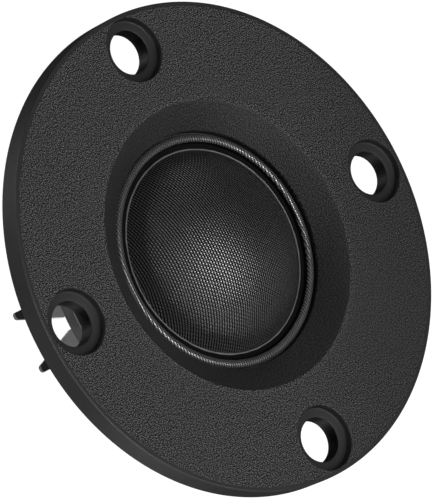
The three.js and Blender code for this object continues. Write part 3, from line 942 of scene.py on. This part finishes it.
def ring_from_box(name, node, inner_r, edge, material, ripple=0):
    """Turned ring or disc that fills its CAD node's box, with rounded edges."""
    low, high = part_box(node)
    piece = turned(name, rounded_section(inner_r, high.x, low.z, high.z, edge), material)
    if ripple:
        dent(piece, low.z + edge, ripple)
    stands_for(piece, node, "frame")


def motor_glue(material):
    """Hand-laid fillet of black glue under the rim of the cup, hollow in its face."""
    low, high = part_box("motor_glue_bead")
    leg = high.z - low.z
    outline = [(high.x, low.z), (high.x, high.z), (high.x - leg, high.z)]
    outline += arc(high.x - leg, low.z, leg, 90, 0, 8)[1:-1]
    bead = turned("rim_fillet", outline, material)
    stands_for(bead, "motor_glue_bead", "frame")


# ------------------------------------------------------------------ rear cap and terminals


def rivet_hole_cutter(side):
    """Cylinder for the rivet hole on one side, through the lug and the floor of the cap."""
    low, high = -OVERSHOOT, CAP_HIGH.z
    outline = [(0, low), (RIVET_HOLE_R, low), (RIVET_HOLE_R, high), (0, high)]
    bm = turned_bmesh(outline, SMALL_ROUND)
    bmesh.ops.translate(bm, verts=bm.verts, vec=(side * RIVET_X, RIVET_Y, 0))
    return new_piece("rivet_hole_cutter", bm, smooth=False)


def rear_cap(material):
    """Moulded cap with a filleted foot and boss, notches for the leads and holes for the rivets."""
    edge = 0.2 * MM
    fillet = 0.35 * MM
    back_z = LUG_HIGH.z
    foot_top = back_z + CAP_FOOT_T
    inner_r = CUP_WALL_R - CAP_WALL_T
    floor_z = SOLDER_LOW.z - RIVET_HEAD_T
    notch_depth = 1.2 * MM
    outline = [
        (0, 0),
        *arc(BOSS_R - edge, edge, edge, 270, 360, 4),
        *arc(BOSS_R + fillet, back_z - fillet, fillet, 180, 90, 4),
        *arc(CAP_FOOT_R - edge, back_z + edge, edge, 270, 360, 4),
        *arc(CAP_FOOT_R - edge, foot_top - edge, edge, 0, 90, 4),
        *arc(CUP_WALL_R + fillet, foot_top + fillet, fillet, 270, 180, 4),
        *arc(CUP_WALL_R - edge, CAP_HIGH.z - edge, edge, 0, 90, 4),
        *arc(inner_r + edge, CAP_HIGH.z - edge, edge, 90, 180, 4),
        *arc(inner_r - fillet, floor_z + fillet, fillet, 0, -90, 4),
        (0, floor_z),
    ]
    cap = turned("rear_cover", outline, material)
    low, high = CAP_HIGH.z - notch_depth, CAP_HIGH.z + OVERSHOOT
    cut_away(cap, lead_slot_cutter(inner_r - OVERSHOOT, CUP_WALL_R + OVERSHOOT, low, high))
    for side in (-1, 1):
        cut_away(cap, rivet_hole_cutter(side))
    even_shading(cap)
    stands_for(cap, "rear_cap", "frame")


def lug_outline(side):
    """Straight tail under the cap, then a blade that tapers along its inner edge to a rounded tip."""
    root_x, outer_x = LUG_LOW.x, LUG_HIGH.x
    tip_x = outer_x - 1.0 * MM
    tip_y, end_y = LUG_LOW.y, LUG_HIGH.y
    tip_round = 0.4 * MM
    end_round = 1.2 * MM
    points = [
        (root_x, -CAP_FOOT_R),
        *arc(tip_x + tip_round, tip_y + tip_round, tip_round, 190, 270, 4),
        *arc(outer_x - tip_round, tip_y + tip_round, tip_round, 270, 360, 4),
        *arc(outer_x - end_round, end_y - end_round, end_round, 0, 90, 5),
        *arc(root_x + end_round, end_y - end_round, end_round, 90, 180, 5),
    ]
    return [(side * x, y) for x, y in points]


def lug(polarity, side, material):
    """Stamped lug with rounded edges and a rivet hole in its tail."""
    bm = bmesh.new()
    base = bm.faces.new([bm.verts.new((x, y, LUG_LOW.z)) for x, y in lug_outline(side)])
    grown = bmesh.ops.extrude_face_region(bm, geom=[base])["geom"]
    top = [g for g in grown if isinstance(g, bmesh.types.BMVert)]
    bmesh.ops.translate(bm, verts=top, vec=(0, 0, LUG_HIGH.z - LUG_LOW.z))
    blade = new_piece(f"blade_{polarity}", bm, material, smooth=False)
    cut_away(blade, rivet_hole_cutter(side))
    modifier = blade.modifiers.new("rounded_edges", "BEVEL")
    modifier.width = 0.07 * MM
    modifier.segments = 3
    modifier.limit_method = "ANGLE"
    modifier.angle_limit = math.radians(50)
    apply_modifiers(blade)
    even_shading(blade)
    stands_for(blade, f"lug_{polarity}", "frame")


def rivet(polarity, side, material):
    """Tubular rivet: a flat flange inside the cap and a rolled lip under the lug."""
    bore_r, shank_r = 0.4 * MM, 0.8 * MM
    head_r = (RIVET_HIGH.x - RIVET_LOW.x) / 2
    half = RIVET_HEAD_T / 2
    outline = [
        *arc(bore_r + half, RIVET_HIGH.z - half, half, 90, 180, 4),
        *arc(bore_r + half, RIVET_LOW.z + half, half, 180, 270, 4),
        *arc(head_r - half, RIVET_LOW.z + half, half, 270, 450, 8),
        (shank_r, LUG_LOW.z),
        (shank_r, RIVET_HIGH.z - RIVET_HEAD_T),
        *arc(head_r - half, RIVET_HIGH.z - half, half, 270, 450, 8),
    ]
    piece = turned(f"eyelet_{polarity}", outline, material, RIVET_ROUND)
    piece.data.transform(Matrix.Translation((side * RIVET_X, RIVET_Y, 0)))
    stands_for(piece, f"rivet_{polarity}", "frame")


def solder_joint(polarity, side, material):
    """Low mound of solder with a concave foot."""
    foot_r = (SOLDER_HIGH.x - SOLDER_LOW.x) / 2
    height = SOLDER_HIGH.z - SOLDER_LOW.z
    foot_t = 0.02 * MM
    fullness = 1.3
    steps = 14
    outline = [(0, SOLDER_LOW.z)]
    for i in range(steps + 1):
        r = foot_r * (1 - i / steps)
        lift = (1 + math.cos(math.pi * (r / foot_r) ** fullness)) / 2
        outline.append((r, SOLDER_LOW.z + foot_t + (height - foot_t) * lift))
    mound = turned(f"solder_mound_{polarity}", outline, material, SMALL_ROUND)
    mound.data.transform(Matrix.Translation((side * RIVET_X, RIVET_Y, 0)))
    stands_for(mound, f"solder_joint_{polarity}", "frame")


def lead_route():
    """Slack loop under the surround, then down past the motor: points of (radius along -Y, height)."""
    lead_d = LEAD_HIGH.x - LEAD_LOW.x
    down_r = -LEAD_LOW.y - lead_d / 2
    start_r = COIL_R + 0.3 * MM + lead_d / 2
    ring_z = CUP_HIGH.z + lead_d
    turn_z = CAP_HIGH.z - 0.6 * MM
    low_z, high_z = CLOTH_LOW.z - 0.35 * MM, CLOTH_LOW.z - 0.2 * MM
    solder_r = -RIVET_Y
    return [
        (start_r, low_z),
        (start_r + 0.5 * MM, high_z),
        (start_r + 1.3 * MM, low_z),
        (down_r - 0.8 * MM, ring_z + 0.1 * MM),
        (down_r - 0.2 * MM, ring_z),
        (down_r, ring_z - 0.6 * MM),
        (down_r, CUP_HIGH.z - CUP_RIM_T),
        (down_r, CUP_LOW.z + 1.5 * MM),
        (down_r, turn_z + 0.7 * MM),
        (down_r - 0.5 * MM, turn_z),
        (CUP_WALL_R - 1.4 * MM, turn_z),
        (solder_r + 0.6 * MM, turn_z - 0.1 * MM),
        (solder_r, turn_z - 0.3 * MM),
        (solder_r, LEAD_LOW.z),
    ]


def smooth_route(points, step):
    """Evenly spaced points on a Catmull-Rom curve through the given ones."""
    parts = 12
    padded = [points[0], *points, points[-1]]
    fine = []
    for a, b, c, d in zip(padded, padded[1:], padded[2:], padded[3:]):
        a, b, c, d = Vector(a), Vector(b), Vector(c), Vector(d)
        for i in range(parts):
            t = i / parts
            bend = (2 * a - 5 * b + 4 * c - d) * t * t + (3 * b - a - 3 * c + d) * t**3
            fine.append((2 * b + (c - a) * t + bend) / 2)
    fine.append(Vector(points[-1]))
    even = [fine[0]]
    left = step
    for here, there in zip(fine, fine[1:]):
        span = (there - here).length
        at = 0
        while span - at >= left:
            at += left
            even.append(here.lerp(there, at / span))
            left = step
        left -= span - at
    return even


def square_to_route(route):
    """Unit vector in the YZ plane, square to the route, at each of its points."""
    squares = []
    for i in range(len(route)):
        ahead = route[min(i + 1, len(route) - 1)] - route[max(i - 1, 0)]
        ahead.normalize()
        squares.append(Vector((0, ahead.y, ahead.x)))
    return squares


def add_tube(bm, middles, squares, radius):
    """Closed tube round a row of points, each ring of it in the plane of X and one of squares."""
    sides = 8
    rings = []
    for middle, square in zip(middles, squares):
        ring = []
        for k in range(sides):
            angle = 2 * math.pi * k / sides
            offset = square * math.cos(angle) + SIDEWAYS * math.sin(angle)
            ring.append(bm.verts.new(middle + offset * radius))
        rings.append(ring)
    skin_rings(bm, rings)


def lead_wire(polarity, side, material):
    """Tinsel lead of three twisted strands, slack between the coil and the ring."""
    lead_r = (LEAD_HIGH.x - LEAD_LOW.x) / 2
    strands = 3
    strand_r = lead_r / 2.16  # three strands that touch each other just fill the lead
    lay = 1.1 * MM  # length of one whole turn of the twist
    step = lay / 10
    route = smooth_route(lead_route(), step)
    squares = square_to_route(route)
    bm = bmesh.new()
    for strand in range(strands):
        middles = []
        for i, ((r, z), square) in enumerate(zip(route, squares)):
            turn = 2 * math.pi * (i * step / lay + strand / strands)
            out = square * math.cos(turn) + SIDEWAYS * math.sin(turn)
            middles.append(Vector((side * RIVET_X, -r, z)) + out * (lead_r - strand_r))
        add_tube(bm, middles, squares, strand_r)
    wire = new_piece(f"tinsel_{polarity}", bm, material, sharp_angle=60)
    start = (0, -(COIL_R + 0.7 * MM), LEAD_HIGH.z)
    end = (0, -(RIM_R - 1.6 * MM), LEAD_HIGH.z)
    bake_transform(wire, "diaphragm", "frame", start=start, end=end)
    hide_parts(f"lead_wire_{polarity}")


# ------------------------------------------------------------------ everything together


add_camera()
add_lights()
add_stage()

carrier = plain_finish("carrier_plastic", grey(0.03), 0.45, relief=0.008 * MM)
zinc = plain_finish("zinc", grey(0.50), 0.35, metallic=1.0)
felt = plain_finish("felt", grey(0.22), 0.95, relief=0.06 * MM)
painted_lit_tin = tinned_brass()
solder = plain_finish("solder", grey(0.62), 0.25, metallic=1.0, mottle=1 * MM)
tinsel = plain_finish("tinned_wire", grey(0.5, tint=(1, 0.98, 0.92)), 0.35, metallic=1.0)
# grey glue, painted lighter as a painted highlight so that the bead shows as a bright line
glue_with_painted_highlight = plain_finish("dome_glue_painted_highlight", grey(0.22), 0.22, mottle=1.5 * MM)
foil = plain_finish("foil", grey(0.60), 0.3, metallic=1.0)
copper = plain_finish("copper", grey(0.45, tint=(1, 0.36, 0.14)), 0.3, metallic=1.0)
black_steel = plain_finish("black_steel", grey(0.03), 0.38, metallic=0.9)
nickel = plain_finish("nickel", grey(0.55, tint=(1, 0.97, 0.90)), 0.28, metallic=1.0)
black_glue = plain_finish("black_glue", grey(0.012), 0.3, mottle=1 * MM)

faceplate(moulded_plastic())
dome(dome_cloth())
surround(surround_cloth())
glue_bead(glue_with_painted_highlight)
coil_former(foil)
coil_winding(copper)
diaphragm_ring(carrier)
yoke_cup(black_steel)
ring_from_box("disc_magnet", "magnet", VENT_R, 0.25 * MM, nickel)
ring_from_box("top_plate", "pole_plate", VENT_R, 0.15 * MM, zinc)
ring_from_box("damping_ring", "pole_felt", VENT_R + 0.5 * MM, 0.25 * MM, felt, ripple=0.1 * MM)
ring_from_box("damping_disc", "rear_felt", 0, 0.4 * MM, felt, ripple=0.25 * MM)
motor_glue(black_glue)
rear_cap(carrier)
for polarity, side in (("positive", 1), ("negative", -1)):
    lug(polarity, side, painted_lit_tin)
    rivet(polarity, side, zinc)
    solder_joint(polarity, side, solder)
    lead_wire(polarity, side, tinsel)
